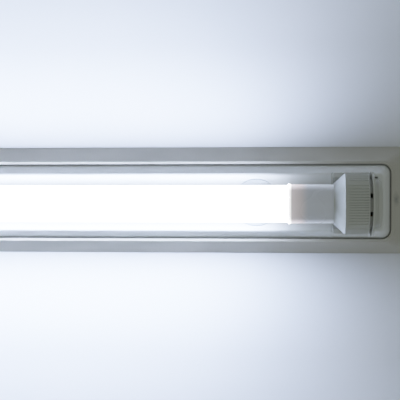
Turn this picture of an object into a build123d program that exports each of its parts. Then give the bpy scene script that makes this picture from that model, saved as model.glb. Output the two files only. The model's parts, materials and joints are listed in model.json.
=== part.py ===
from build123d import *
import math
import os

# Open batten for one straight tube lamp. X runs along the lamp, Y across it, and Z out of the
# mounting surface, with the base's flat back at Z = 0. All sizes are in millimetres.

# Clearances
RUN_GAP = 0.3            # between pieces that move past each other
SHAFT_GAP = 0.07         # radial play of a turning fit
FIT_GAP = 0.1            # between pieces that are fitted together

# Lamp
LAMP_LENGTH = 589.8      # from cap face to cap face
TUBE_R = 13.0
TUBE_WALL = 0.8
CAP_R = 13.45
CAP_WALL = 1.3
CAP_END_WALL = 2.0
CAP_LENGTH = 48.0
CAP_LIP_R = 13.9
CAP_LIP_LENGTH = 1.4
CAP_OVERLAP = 10.8       # how far the tube goes into the cap
CAP_EDGE_R = 0.8
PIN_R = 1.175
PIN_LENGTH = 7.1
PIN_SPACING = 12.7
PIN_ROOT = 3.0
PIN_TIP_BEVEL = 0.4
BOARD_WIDTH = 12.0
BOARD_THICKNESS = 1.0
BOARD_END_SPACE = 4.0
CHIP_LENGTH = 3.5
CHIP_WIDTH = 2.8
CHIP_HEIGHT = 0.7
CHIP_COUNT = 30
DRIVER_LENGTH = 27.0
DRIVER_DROP = 3.0        # driver board below the lamp axis
DRIVER_START = 1.6       # from the tube's end to the driver board
COIL_SIZE = (11.0, 10.0, 8.0)
CAPACITOR_R = 3.0
CAPACITOR_LENGTH = 10.0

# Ring nut
NUT_R = 21.0
NUT_BORE_R = 18.3
NUT_WALL = 2.0           # wall of the cone nose
NUT_BARREL = 16.4
NUT_NOSE = 7.7
NUT_NOSE_LAND = 0.4
NUT_CAP_GAP = 0.35       # between the nose hole and the lamp cap
NUT_EDGE_BEVEL = 0.5
RIB_START = 3.7          # from the cone's edge to the grip ribs
RIB_LENGTH = 12.0
RIB_PITCH = 1.67         # groove pitch at the middle of a zone
RIB_SPREAD = 0.027       # extra pitch towards the zone's ends
RIB_HALF_COUNT = 7
RIB_ZONES = 4
GROOVE_WIDTH = 0.9
GROOVE_DEPTH = 0.55

# Slip ring and gasket
SLIP_RING_R = 17.0
SLIP_RING_LAND = 0.4
GASKET_LENGTH = 3.4

# Lampholder
PIN_TIP_SPACE = 1.9      # from the pin tips to the flange
NUT_REAR_GAP = 2.0       # slit between nut and flange, at the top
NECK_R = 17.2
CAP_SEAT_GAP = 0.45
SEAT_DEPTH = 0.7         # from the cap face to the web that carries the rotor
WEB_THICKNESS = 1.7
CHAMBER_R = 12.0
FLANGE_R = 22.1
FLANGE_THICKNESS = 1.2
FLANGE_LEAN = 0.8        # the flange's face stands this much nearer the nut below the lamp axis
REAR_R = 17.0
REAR_BODY = 2.2
REAR_COVER = 3.2
REAR_WALL = 1.6
REAR_EDGE_R = 2.8
WINDOW_WIDTH = 3.2
WINDOW_SPACING = 12.4
FOOT_HALF_WIDTH = 21.2
FOOT_LENGTH = 28.4       # from the foot's front to the flange's rear
FOOT_FLOOR = 1.8
FOOT_STEP = 1.2
FOOT_STEP_HEIGHT = 1.4
FOOT_HEIGHT = 11.4
FOOT_CORNER_R = 1.0
TROUGH_GAP = 0.6
PLUG_HALF_WIDTH = 12.5
PLUG_SETBACK = 7.4
PLUG_DEPTH = 5.0
DUCT_HALF_WIDTH = 10.5
ROTOR_R = 10.52
ROTOR_FRONT_GAP = 0.3
ROTOR_FLANGE_R = 11.6
ROTOR_FLANGE = 0.8
HUB_R = 3.2
HUB_LENGTH = 6.4
BOSS_R = 5.0
BOSS_LENGTH = 5.9
SLOT_DEPTH = 1.2
CONTACT_THICKNESS = 0.5
CONTACT_HEIGHT = 7.0
CONTACT_TAIL = 2.8
CONTACT_DROP = 7.5
HOLDER_SCREW_R = 1.3
HOLDER_SCREW_HEAD_R = 2.4
HOLDER_SCREW_HEAD = 1.8
HOLDER_SCREW_EDGE = 0.5
HOLDER_SCREW_BITE = 5.0
HOLDER_SCREW_Y = 15.8
HOLDER_SCREW_INSET = 14.2

# Gear tray
TRAY_HEIGHT = 41.6
TRAY_TOP_HALF_WIDTH = 20.5
TRAY_HALF_WIDTH = 26.2
TRAY_SKIRT = 3.6         # upright strip under the sloped sides
TRAY_WALL = 2.0
TRAY_END_FLAT = 4.0      # flat tray behind each holder
TRAY_END_SLOPE = 4.85
TRAY_CORNER_R = 5.9
TRAY_TOP_CORNER_R = 4.4
TRAY_EDGE_R = 2.4
OPENING_GAP = 0.3
LATCH_SLOT = (4.4, 1.0)  # slot beside each rear cover: length, width
LATCH_INSET = 0.8        # from the holder's end to the slot
FASTENER_INSET = 23.1    # from the lamp cap's lip to the fastener's axis
FASTENER_R = 16.8
FASTENER_HEAD = 1.2
FASTENER_EDGE = 0.4
RECESS_DEPTH = 0.6
COLLAR_WIDTH = 1.4
COLLAR_HEIGHT = 0.6
COIN_SLOT = (12.0, 2.4, 0.7)
SHANK_R = 3.7
EAR_REACH = 5.6
EAR_WIDTH = 3.4
EAR_HEIGHT = 2.2

# Base
RIM_HEIGHT = 24.8
RIM_WIDTH = 1.9
GROOVE_GAP = 1.0         # visible gap between rim and tray
SIDE_SPREAD = 10.4       # how far each long side runs out from the rim to the wall
END_SPREAD = 28.0        # how far each end runs out from the rim to the wall
BASE_CORNER_R = 16.0     # corner of the base at the wall
BASE_WALL = 2.2
BASE_FLOOR = 2.4
LEDGE_HEIGHT = 18.0
LEDGE_WIDTH = 4.0
LEDGE_THICKNESS = 2.0
SEAL_HEIGHT = 2.0
SEAL_INSET = 0.4
INNER_CORNER_R = 3.0
BACK_RIB_PITCH = 44.0
BACK_RIB_THICKNESS = 1.4
BACK_RIB_SETBACK = 2.0
END_RIB_SPACING = 26.0
POST_R = 9.2
POST_WALL = 1.7
POST_ROOF = 2.5
POST_HEIGHT = 20.0
FIXING_SPACING = 400.0
FIXING_HOLE_R = 2.6
FIXING_BOSS_R = 7.0
FIXING_BOSS = 2.0
CABLE_X = -120.0
CABLE_HOLE_R = 8.0
GROMMET_BORE_R = 4.5
GROMMET_LIP = 2.0
GROMMET_LIP_THICKNESS = 1.4
GUIDE_COUNT = 5
GUIDE_THICKNESS = 1.6
TERMINAL_X = -60.0
TERMINAL_SIZE = (22.0, 22.0, 13.0)
TERMINAL_PAD = 1.5
TERMINAL_SCREW_R = 1.8
TERMINAL_SCREW_DEPTH = 2.6
TERMINAL_SCREW_LENGTH = 1.3
TERMINAL_SCREW_SLOT = 0.6
TERMINAL_SLIT = (2.2, 6.5)   # slit between the poles: width, depth
TERMINAL_SOCKET_HEIGHT = 3.4
LEAD_R = 1.2
LEAD_Y = 14.0
LEAD_HEIGHT = 6.0
LEAD_BEND_R = 7.0
LEAD_SPREAD = 35.0       # length over which the leads part from the terminal's pitch
LEAD_SOCKET_DEPTH = 4.0

# Places along X, for the right-hand end
axis_height = TRAY_HEIGHT + FOOT_FLOOR + TROUGH_GAP + NUT_R
cap_face_x = LAMP_LENGTH / 2
cap_mouth_x = cap_face_x - CAP_LENGTH
tube_end_x = cap_mouth_x + CAP_OVERLAP
pin_tip_x = cap_face_x + PIN_LENGTH
flange_x = pin_tip_x + PIN_TIP_SPACE
rear_x = flange_x + FLANGE_THICKNESS
cover_x = rear_x + REAR_BODY
holder_end_x = cover_x + REAR_COVER
cover_wall_x = holder_end_x - REAR_WALL
nut_rear_x = flange_x - NUT_REAR_GAP
nut_edge_x = nut_rear_x - NUT_BARREL
nut_nose_x = nut_edge_x - NUT_NOSE
nose_hole_r = CAP_R + NUT_CAP_GAP
nose_slope = (NUT_R - nose_hole_r - NUT_NOSE_LAND) / NUT_NOSE
slope_length = math.hypot(1, nose_slope)
foot_x = rear_x - FOOT_LENGTH
plug_front_x = foot_x + PLUG_SETBACK
plug_rear_x = flange_x - FIT_GAP
tray_flat_x = holder_end_x + TRAY_END_FLAT
tray_half_length = tray_flat_x + TRAY_END_SLOPE
fastener_x = cap_mouth_x - FASTENER_INSET
web_x = cap_face_x + SEAT_DEPTH
chamber_x = web_x + WEB_THICKNESS
rotor_front_x = cap_face_x + ROTOR_FRONT_GAP
rotor_flange_x = chamber_x + FIT_GAP
rotor_rear_x = rotor_flange_x + ROTOR_FLANGE
hub_end_x = rotor_rear_x + HUB_LENGTH
boss_x = cover_wall_x - BOSS_LENGTH
contact_x = rotor_rear_x + RUN_GAP
contact_y = PIN_SPACING / 2 + PIN_R + RUN_GAP + CONTACT_THICKNESS / 2
lead_x = cover_wall_x - LEAD_R - RUN_GAP

# Heights and half-sizes of base and tray
tray_underside = TRAY_HEIGHT - TRAY_WALL
seal_top = LEDGE_HEIGHT + SEAL_HEIGHT
slope_foot = seal_top + TRAY_SKIRT
pocket_half_length = tray_half_length + GROOVE_GAP
pocket_half_width = TRAY_HALF_WIDTH + GROOVE_GAP
pocket_r = TRAY_CORNER_R + GROOVE_GAP
rim_half_length = pocket_half_length + RIM_WIDTH
rim_half_width = pocket_half_width + RIM_WIDTH
base_half_length = rim_half_length + END_SPREAD
base_half_width = rim_half_width + SIDE_SPREAD
trough_half_length = pocket_half_length - LEDGE_WIDTH
trough_half_width = pocket_half_width - LEDGE_WIDTH
post_roof_z = POST_HEIGHT - POST_ROOF


def inner_cone_r(x, extra=0.0):
    """Radius of the nut's inner cone at x, less an extra wall measured square to the cone."""
    outer = nose_hole_r + NUT_NOSE_LAND + nose_slope * (x - nut_nose_x)
    return outer - (NUT_WALL + extra) * slope_length


def inner_cone_x(radius, extra=0.0):
    """Place along X where the nut's inner cone has the given radius."""
    return nut_nose_x + (radius - inner_cone_r(nut_nose_x, extra)) / nose_slope


slip_edge_x = inner_cone_x(SLIP_RING_R, RUN_GAP)
slip_rear_x = slip_edge_x + SLIP_RING_LAND
gasket_rear_x = slip_rear_x + GASKET_LENGTH
neck_mouth_x = gasket_rear_x + RUN_GAP


def turned(points):
    """Solid of revolution about the lamp axis from a closed outline of (x, radius) points."""
    outline = make_face(Polyline(*points, close=True))
    return Pos(0, 0, axis_height) * revolve(outline, Axis.X, 360)


def rod(radius, x0, x1, y=0.0, z=0.0):
    """Round bar along X between x0 and x1, placed relative to the lamp axis."""
    bar = Cylinder(radius, x1 - x0, align=(Align.CENTER, Align.CENTER, Align.MIN))
    return Pos(x0, y, axis_height + z) * Rot(0, 90, 0) * bar


def upright(radius, z0, z1, x=0.0, y=0.0):
    """Round bar along Z between z0 and z1."""
    return Pos(x, y, z0) * Cylinder(radius, z1 - z0, align=(Align.CENTER, Align.CENTER, Align.MIN))


def block(x0, x1, y0, y1, z0, z1):
    """Box between two corners."""
    return Pos(x0, y0, z0) * Box(x1 - x0, y1 - y0, z1 - z0, align=(Align.MIN, Align.MIN, Align.MIN))


def slab(half_x, half_y, radius, z0, z1):
    """Upright slab with rounded corners, centred on the origin."""
    return Pos(0, 0, z0) * extrude(RectangleRounded(2 * half_x, 2 * half_y, radius), z1 - z0)


def drafted(low, high, z0, z1):
    """Slab whose outline (half_x, half_y, radius) changes evenly from z0 to z1."""
    outlines = []
    for (half_x, half_y, radius), z in ((low, z0), (high, z1)):
        outlines.append(Pos(0, 0, z) * RectangleRounded(2 * half_x, 2 * half_y, radius))
    return loft(outlines, ruled=True)


def group(solids):
    """Several separate solids as one shape."""
    flat = []
    for shape in solids:
        flat.extend(shape.solids())
    return Compound(flat)


def mirrored(shape):
    """The left-hand copy of a right-hand piece."""
    return mirror(shape, about=Plane.YZ)


def base_outline(z, inset=0.0):
    """Outline of the base's sloped side at a height, moved inwards by an inset."""
    share = 1 - z / RIM_HEIGHT
    rim_r = pocket_r + RIM_WIDTH
    return (rim_half_length + END_SPREAD * share - inset, rim_half_width + SIDE_SPREAD * share - inset,
            rim_r + (BASE_CORNER_R - rim_r) * share - inset)


def back_ribs():
    """Stiffening ribs in the channel round the base's wall side."""
    roof = LEDGE_HEIGHT - LEDGE_THICKNESS
    ribs = []
    half_count = int(trough_half_length / BACK_RIB_PITCH)
    for step in range(-half_count, half_count + 1):
        x = step * BACK_RIB_PITCH
        ribs.append(block(x - BACK_RIB_THICKNESS / 2, x + BACK_RIB_THICKNESS / 2,
                          -base_half_width, base_half_width, BACK_RIB_SETBACK, roof))
    for y in (-END_RIB_SPACING, 0, END_RIB_SPACING):
        ribs.append(block(-base_half_length, base_half_length,
                          y - BACK_RIB_THICKNESS / 2, y + BACK_RIB_THICKNESS / 2, BACK_RIB_SETBACK, roof))
    return ribs


def post(x):
    """Hollow post with a keyhole roof for a quarter-turn fastener."""
    body = upright(POST_R, 0, POST_HEIGHT, x)
    body -= upright(POST_R - POST_WALL, BASE_FLOOR, post_roof_z, x)
    body -= upright(SHANK_R + RUN_GAP, BASE_FLOOR, POST_HEIGHT, x)
    half_slot = EAR_WIDTH / 2 + RUN_GAP
    reach = EAR_REACH + RUN_GAP
    body -= block(x - half_slot, x + half_slot, -reach, reach, post_roof_z, POST_HEIGHT)
    return body


def guide_places():
    """Places along X of the notched cross ribs that hold the straight run of the leads."""
    start = TERMINAL_X + TERMINAL_SIZE[0] + LEAD_SPREAD
    step = (fastener_x - start) / GUIDE_COUNT
    return [start + step * (number + 0.5) for number in range(GUIDE_COUNT)]


def lead_guide(x):
    """Low cross rib with an open notch for each lead."""
    top = LEAD_HEIGHT + LEAD_R
    rib = block(x, x + GUIDE_THICKNESS, -trough_half_width, trough_half_width, 0, top)
    for y in (-LEAD_Y, LEAD_Y):
        half = LEAD_R + FIT_GAP
        rib -= rod(half, x, x + GUIDE_THICKNESS, y, LEAD_HEIGHT - axis_height)
        rib -= block(x, x + GUIDE_THICKNESS, y - half, y + half, LEAD_HEIGHT, top)
    return rib


def make_base():
    """Moulded base: sloped side, rim, seal ledge, inner trough and what stands in it."""
    roof = LEDGE_HEIGHT - LEDGE_THICKNESS
    body = drafted(base_outline(0), base_outline(RIM_HEIGHT), 0, RIM_HEIGHT)
    channel = drafted(base_outline(0, BASE_WALL), base_outline(roof, BASE_WALL), 0, roof)
    channel -= slab(trough_half_length + BASE_WALL, trough_half_width + BASE_WALL,
                    INNER_CORNER_R + BASE_WALL, 0, roof)
    for rib in back_ribs():
        channel -= rib
    body -= channel
    body -= slab(pocket_half_length, pocket_half_width, pocket_r, LEDGE_HEIGHT, RIM_HEIGHT)
    body -= slab(trough_half_length, trough_half_width, INNER_CORNER_R, BASE_FLOOR, LEDGE_HEIGHT)
    for x in guide_places():
        body += lead_guide(x)
    body += terminal_pad()
    for side in (-1, 1):
        body += post(side * fastener_x)
        body += upright(FIXING_BOSS_R, 0, BASE_FLOOR + FIXING_BOSS, side * FIXING_SPACING / 2)
        body -= upright(FIXING_HOLE_R, 0, BASE_FLOOR + FIXING_BOSS, side * FIXING_SPACING / 2)
    body -= upright(CABLE_HOLE_R, 0, BASE_FLOOR, CABLE_X)
    body -= upright(CABLE_HOLE_R + GROMMET_LIP + RUN_GAP, 0, GROMMET_LIP_THICKNESS, CABLE_X)
    return body


def terminal_pad():
    """Pad that the terminal block stands on."""
    length, width, _ = TERMINAL_SIZE
    return block(TERMINAL_X, TERMINAL_X + length, -width / 2, width / 2, BASE_FLOOR, BASE_FLOOR + TERMINAL_PAD)


def make_cover_seal():
    """Flat seal ring on the base's ledge."""
    outer = slab(pocket_half_length - FIT_GAP, pocket_half_width - FIT_GAP, pocket_r - FIT_GAP,
                 LEDGE_HEIGHT, seal_top)
    inner = slab(trough_half_length + SEAL_INSET, trough_half_width + SEAL_INSET,
                 INNER_CORNER_R + SEAL_INSET, LEDGE_HEIGHT, seal_top)
    return outer - inner


def make_grommet():
    """Rubber grommet with an open cable hole, flush with the base's back."""
    top = BASE_FLOOR + GROMMET_LIP_THICKNESS
    lip_r = CABLE_HOLE_R + GROMMET_LIP
    body = upright(CABLE_HOLE_R, 0, top, CABLE_X)
    body += upright(lip_r, 0, GROMMET_LIP_THICKNESS, CABLE_X)
    body += upright(lip_r, BASE_FLOOR, top, CABLE_X)
    return body - upright(GROMMET_BORE_R, 0, top, CABLE_X)


def make_terminal():
    """Two-pole terminal block with screw wells and lead sockets."""
    length, width, height = TERMINAL_SIZE
    low = BASE_FLOOR + TERMINAL_PAD
    body = block(TERMINAL_X, TERMINAL_X + length, -width / 2, width / 2, low, low + height)
    slit_width, slit_depth = TERMINAL_SLIT
    body -= block(TERMINAL_X, TERMINAL_X + length, -slit_width / 2, slit_width / 2,
                  low + height - slit_depth, low + height)
    for x, y in terminal_screw_places():
        body -= upright(TERMINAL_SCREW_R + FIT_GAP, low + height - TERMINAL_SCREW_DEPTH, low + height, x, y)
    for y in (-terminal_pole_y(), terminal_pole_y()):
        for x in (TERMINAL_X, TERMINAL_X + length - LEAD_SOCKET_DEPTH):
            socket = Pos(x, y, terminal_lead_z()) * Rot(0, 90, 0) * Cylinder(
                LEAD_R + FIT_GAP, LEAD_SOCKET_DEPTH, align=(Align.CENTER, Align.CENTER, Align.MIN))
            body -= socket
    return body


def terminal_pole_y():
    """Distance of each terminal pole from the middle."""
    return TERMINAL_SIZE[1] / 4


def terminal_lead_z():
    """Height of the lead sockets in the terminal block."""
    return BASE_FLOOR + TERMINAL_PAD + TERMINAL_SOCKET_HEIGHT


def terminal_screw_places():
    """Places of the terminal's four screws."""
    length = TERMINAL_SIZE[0]
    middle = TERMINAL_X + length / 2
    places = []
    for side in (-1, 1):
        for y in (-terminal_pole_y(), terminal_pole_y()):
            places.append((middle + side * length / 4, y))
    return places


def make_terminal_screws():
    """Slotted clamping screws of the terminal block."""
    low = BASE_FLOOR + TERMINAL_PAD + TERMINAL_SIZE[2] - TERMINAL_SCREW_DEPTH
    top = low + TERMINAL_SCREW_LENGTH
    half_slot = TERMINAL_SCREW_SLOT / 2
    screws = []
    for x, y in terminal_screw_places():
        screw = upright(TERMINAL_SCREW_R, low, top, x, y)
        screw -= block(x - TERMINAL_SCREW_R, x + TERMINAL_SCREW_R, y - half_slot, y + half_slot,
                       top - TERMINAL_SCREW_SLOT, top)
        screws.append(screw)
    return group(screws)


def make_supply_leads():
    """Two leads from the terminal block along the trough and up into the right-hand holder."""
    leads = []
    start_x = TERMINAL_X + TERMINAL_SIZE[0] - LEAD_SOCKET_DEPTH
    top = axis_height - CONTACT_HEIGHT / 2 - CONTACT_DROP
    for side in (-1, 1):
        pole_y = side * terminal_pole_y()
        run_y = side * LEAD_Y
        end_y = side * contact_y
        half = LEAD_SPREAD / 2
        points = [
            (start_x, pole_y, terminal_lead_z()),
            (start_x + half, pole_y, terminal_lead_z()),
            (start_x + LEAD_SPREAD, run_y, LEAD_HEIGHT),
            (lead_x - LEAD_SPREAD, run_y, LEAD_HEIGHT),
            (lead_x - half, end_y, LEAD_HEIGHT),
            (lead_x, end_y, LEAD_HEIGHT),
            (lead_x, end_y, top),
        ]
        path = FilletPolyline(*points, radius=LEAD_BEND_R)
        section = Plane(origin=points[0], z_dir=(1, 0, 0)) * Circle(LEAD_R)
        leads.append(sweep(section, path))
    return group(leads)


def make_gear_tray():
    """Raised tray: an inverted shell with sloped sides that stands on the seal."""
    foot = (tray_half_length, TRAY_HALF_WIDTH, TRAY_CORNER_R)
    top = (tray_flat_x, TRAY_TOP_HALF_WIDTH, TRAY_TOP_CORNER_R)
    cap = drafted(foot, top, slope_foot, TRAY_HEIGHT)
    shell = fillet(cap.faces().sort_by(Axis.Z)[-1].edges(), TRAY_EDGE_R)
    shell += slab(*foot, seal_top, slope_foot)
    inner_foot = tuple(size - TRAY_WALL for size in foot)
    inner_top = tuple(size - TRAY_WALL for size in top)
    shell -= slab(*inner_foot, seal_top, slope_foot)
    shell -= drafted(inner_foot, inner_top, slope_foot, tray_underside)
    for side in (-1, 1):
        x = side * fastener_x
        collar_r = FASTENER_R + RUN_GAP + COLLAR_WIDTH
        shell += upright(collar_r, tray_underside, TRAY_HEIGHT + COLLAR_HEIGHT, x)
        shell -= upright(FASTENER_R + RUN_GAP, TRAY_HEIGHT - RECESS_DEPTH, TRAY_HEIGHT + COLLAR_HEIGHT, x)
        shell -= upright(SHANK_R + RUN_GAP, tray_underside, TRAY_HEIGHT, x)
    for hole in tray_holes():
        shell -= hole
        shell -= mirrored(hole)
    return shell


def tray_holes():
    """Cutters for the right-hand holder: opening for its plug, latch slots and screw holes."""
    holes = [block(plug_front_x - OPENING_GAP, cover_wall_x + OPENING_GAP,
                   -PLUG_HALF_WIDTH - OPENING_GAP, PLUG_HALF_WIDTH + OPENING_GAP,
                   tray_underside, TRAY_HEIGHT)]
    length, width = LATCH_SLOT
    end = holder_end_x - LATCH_INSET
    near = REAR_R + FIT_GAP
    for low in (near, -near - width):
        holes.append(block(end - length, end, low, low + width, tray_underside, TRAY_HEIGHT))
    for x, y in holder_screw_places():
        holes.append(upright(HOLDER_SCREW_R + FIT_GAP, tray_underside, TRAY_HEIGHT, x, y))
    return holes


def ear_block(x, z0, z1, reach, half_width):
    """Cross bar of the fastener, lying along X when locked."""
    return block(x - reach, x + reach, -half_width, half_width, z0, z1)


def make_fastener():
    """Quarter-turn fastener: flat round head with a coin slot, shank and two ears."""
    low = TRAY_HEIGHT - RECESS_DEPTH + FIT_GAP
    top = low + FASTENER_HEAD
    head = upright(FASTENER_R, low, top, fastener_x)
    head = chamfer(head.edges().group_by(Axis.Z)[-1], FASTENER_EDGE)
    length, width, depth = COIN_SLOT
    head -= block(fastener_x - width / 2, fastener_x + width / 2, -length / 2, length / 2, top - depth, top)
    ear_top = post_roof_z - FIT_GAP
    shank = upright(SHANK_R, ear_top - EAR_HEIGHT, low, fastener_x)
    ears = ear_block(fastener_x, ear_top - EAR_HEIGHT, ear_top, EAR_REACH, EAR_WIDTH / 2)
    return head + shank + ears


def holder_screw_places():
    """Places of the right-hand holder's two screws."""
    x = foot_x + HOLDER_SCREW_INSET
    return [(x, -HOLDER_SCREW_Y), (x, HOLDER_SCREW_Y)]


def rear_shape(radius, x0, x1, low):
    """D-shaped slab across X: round over the lamp axis, straight down to the tray."""
    outline = Circle(radius) + Pos(0, (low - axis_height) / 2) * Rectangle(2 * radius, axis_height - low)
    plane = Plane(origin=(x0, 0, axis_height), x_dir=(0, 1, 0), z_dir=(1, 0, 0))
    return extrude(plane * outline, x1 - x0)


def lead_duct():
    """Space inside the holder's rear through which the leads come up."""
    return block(rear_x + FIT_GAP, cover_wall_x, -DUCT_HALF_WIDTH, DUCT_HALF_WIDTH, TRAY_HEIGHT, axis_height)


def make_flange():
    """Flange behind the nut: upright up to the lamp axis, and leaning away from the nut above it."""
    face_x = flange_x - FLANGE_LEAN
    top = axis_height + FLANGE_R
    wedge = make_face(Plane.XZ * Polyline((face_x, axis_height), (face_x, top), (flange_x, top), close=True))
    return rod(FLANGE_R, face_x, rear_x) - extrude(wedge, FLANGE_R, both=True)


def make_holder_body():
    """Foot with a saddle under the nut, flange, threaded neck and rotor web."""
    foot_top = TRAY_HEIGHT + FOOT_HEIGHT
    step_top = TRAY_HEIGHT + FOOT_STEP_HEIGHT
    foot = block(foot_x + FOOT_STEP, rear_x, -FOOT_HALF_WIDTH, FOOT_HALF_WIDTH, TRAY_HEIGHT, foot_top)
    foot = fillet(foot.edges().filter_by(Axis.Z).group_by(Axis.X)[0], FOOT_CORNER_R)
    step = block(foot_x, rear_x, -FOOT_HALF_WIDTH, FOOT_HALF_WIDTH, TRAY_HEIGHT, step_top)
    foot += fillet(step.edges().filter_by(Axis.Z).group_by(Axis.X)[0], FOOT_CORNER_R)
    foot -= rod(NUT_R + TROUGH_GAP, foot_x, flange_x - FLANGE_LEAN)
    foot += block(plug_front_x, plug_rear_x, -PLUG_HALF_WIDTH, PLUG_HALF_WIDTH,
                  TRAY_HEIGHT - PLUG_DEPTH, TRAY_HEIGHT + FOOT_FLOOR / 2)
    body = foot + make_flange() + rod(NECK_R, neck_mouth_x, flange_x)
    body += rear_shape(REAR_R, rear_x, cover_x, TRAY_HEIGHT)
    body -= rod(CAP_R + CAP_SEAT_GAP, neck_mouth_x, web_x)
    body -= rod(ROTOR_R + SHAFT_GAP, web_x, chamber_x)
    body -= rod(CHAMBER_R, chamber_x, cover_x)
    body -= lead_duct()
    for side in (-1, 1):
        middle = side * WINDOW_SPACING / 2
        body -= block(nut_rear_x + FIT_GAP, flange_x - FIT_GAP, middle - WINDOW_WIDTH / 2,
                      middle + WINDOW_WIDTH / 2, axis_height + CHAMBER_R / 2, axis_height + NECK_R)
    for x, y in holder_screw_places():
        body -= upright(HOLDER_SCREW_R + FIT_GAP / 2, TRAY_HEIGHT, TRAY_HEIGHT + HOLDER_SCREW_BITE, x, y)
    return body


def make_holder_back():
    """D-shaped rear cover with the rotor's bearing boss and two ribs behind the contacts."""
    body = rear_shape(REAR_R, cover_x, holder_end_x, TRAY_HEIGHT)
    edges = body.faces().sort_by(Axis.X)[-1].edges()
    body = fillet(edges, REAR_EDGE_R)
    body -= rear_shape(REAR_R - REAR_WALL, cover_x, cover_wall_x, TRAY_HEIGHT)
    body += rod(BOSS_R, boss_x, cover_wall_x)
    body -= rod(HUB_R + SHAFT_GAP, boss_x, hub_end_x + FIT_GAP)
    for side in (-1, 1):
        inner = contact_y + CONTACT_THICKNESS / 2
        near, far = sorted((side * inner, side * (inner + REAR_WALL)))
        body += block(cover_x, cover_wall_x, near, far, axis_height - REAR_WALL, axis_height + REAR_WALL)
    return body


def make_contacts():
    """Two upright contact leaves beside the lamp pins, with a tail down to the leads."""
    leaves = []
    low = axis_height - CONTACT_HEIGHT / 2
    for side in (-1, 1):
        y0 = side * contact_y - CONTACT_THICKNESS / 2
        y1 = side * contact_y + CONTACT_THICKNESS / 2
        leaf = block(contact_x, cover_wall_x, y0, y1, low, low + CONTACT_HEIGHT)
        leaf += block(lead_x - CONTACT_TAIL / 2, lead_x + CONTACT_TAIL / 2, y0, y1, low - CONTACT_DROP, low)
        leaves.append(leaf)
    return group(leaves)


def make_holder_screws():
    """Pan-head screws from inside the tray into the holder's foot."""
    screws = []
    head_low = tray_underside - HOLDER_SCREW_HEAD
    for x, y in holder_screw_places():
        screw = upright(HOLDER_SCREW_HEAD_R, head_low, tray_underside, x, y)
        screw = chamfer(screw.edges().group_by(Axis.Z)[0], HOLDER_SCREW_EDGE)
        screw += upright(HOLDER_SCREW_R, tray_underside, TRAY_HEIGHT + HOLDER_SCREW_BITE - FIT_GAP, x, y)
        screws.append(screw)
    return group(screws)


def make_rotor():
    """Rotor disc with pin slot, retaining flange and bearing hub."""
    body = turned([
        (rotor_front_x, 0), (rotor_front_x, ROTOR_R), (rotor_flange_x, ROTOR_R),
        (rotor_flange_x, ROTOR_FLANGE_R), (rotor_rear_x, ROTOR_FLANGE_R), (rotor_rear_x, HUB_R),
        (hub_end_x, HUB_R), (hub_end_x, 0),
    ])
    half_slot = PIN_R + FIT_GAP
    reach = PIN_SPACING / 2 + half_slot
    body -= block(rotor_front_x, rotor_front_x + SLOT_DEPTH, -reach, reach,
                  axis_height - half_slot, axis_height + half_slot)
    for side in (-1, 1):
        body -= rod(half_slot, rotor_front_x, rotor_rear_x, side * PIN_SPACING / 2)
    return body


def make_slip_ring():
    """Ring with a cone front that passes the nut's push on to the gasket."""
    inner_r = nose_hole_r
    front_x = inner_cone_x(inner_r + NUT_NOSE_LAND, RUN_GAP)
    return turned([
        (front_x, inner_r), (front_x, inner_r + NUT_NOSE_LAND), (slip_edge_x, SLIP_RING_R),
        (slip_rear_x, SLIP_RING_R), (slip_rear_x, inner_r),
    ])


def make_lamp_gasket():
    """Rubber ring that seals on the lamp cap."""
    return turned([
        (slip_rear_x, CAP_R + FIT_GAP), (slip_rear_x, SLIP_RING_R),
        (gasket_rear_x, SLIP_RING_R), (gasket_rear_x, CAP_R + FIT_GAP),
    ])


def rib_angles():
    """Angles of the grooves in one grip zone, in degrees from the zone's middle."""
    angles = [0.0]
    for number in range(1, RIB_HALF_COUNT + 1):
        offset = RIB_PITCH * number + RIB_SPREAD * number ** 2
        angle = math.degrees(math.asin(offset / NUT_R))
        angles.extend((-angle, angle))
    return angles


def grip_groove(angle):
    """V-shaped cutter for one groove along the nut, at an angle from the top."""
    outer = NUT_R + GROOVE_DEPTH
    half = GROOVE_WIDTH * outer / NUT_R
    outline = make_face(Polyline((0, NUT_R - GROOVE_DEPTH), (half, outer), (-half, outer), close=True))
    start = nut_edge_x + RIB_START
    plane = Plane(origin=(start, 0, 0), x_dir=(0, 1, 0), z_dir=(1, 0, 0))
    cutter = extrude(plane * outline, RIB_LENGTH)
    return Pos(0, 0, axis_height) * Rot(angle, 0, 0) * cutter


def make_ring_nut():
    """Ring nut with a hollow cone nose and zones of grip grooves round its barrel."""
    bore_x = inner_cone_x(NUT_BORE_R)
    throat_x = inner_cone_x(nose_hole_r)
    nut = turned([
        (nut_nose_x, nose_hole_r), (nut_nose_x, nose_hole_r + NUT_NOSE_LAND), (nut_edge_x, NUT_R),
        (nut_rear_x - NUT_EDGE_BEVEL, NUT_R), (nut_rear_x, NUT_R - NUT_EDGE_BEVEL),
        (nut_rear_x, NUT_BORE_R), (bore_x, NUT_BORE_R), (throat_x, nose_hole_r),
    ])
    cutters = []
    for zone in range(RIB_ZONES):
        for angle in rib_angles():
            cutters.append(grip_groove(angle + zone * 360 / RIB_ZONES))
    return nut - cutters


def make_lamp_tube():
    """Opal tube, open at both ends, inside the two caps."""
    return rod(TUBE_R, -tube_end_x, tube_end_x) - rod(TUBE_R - TUBE_WALL, -tube_end_x, tube_end_x)


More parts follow.
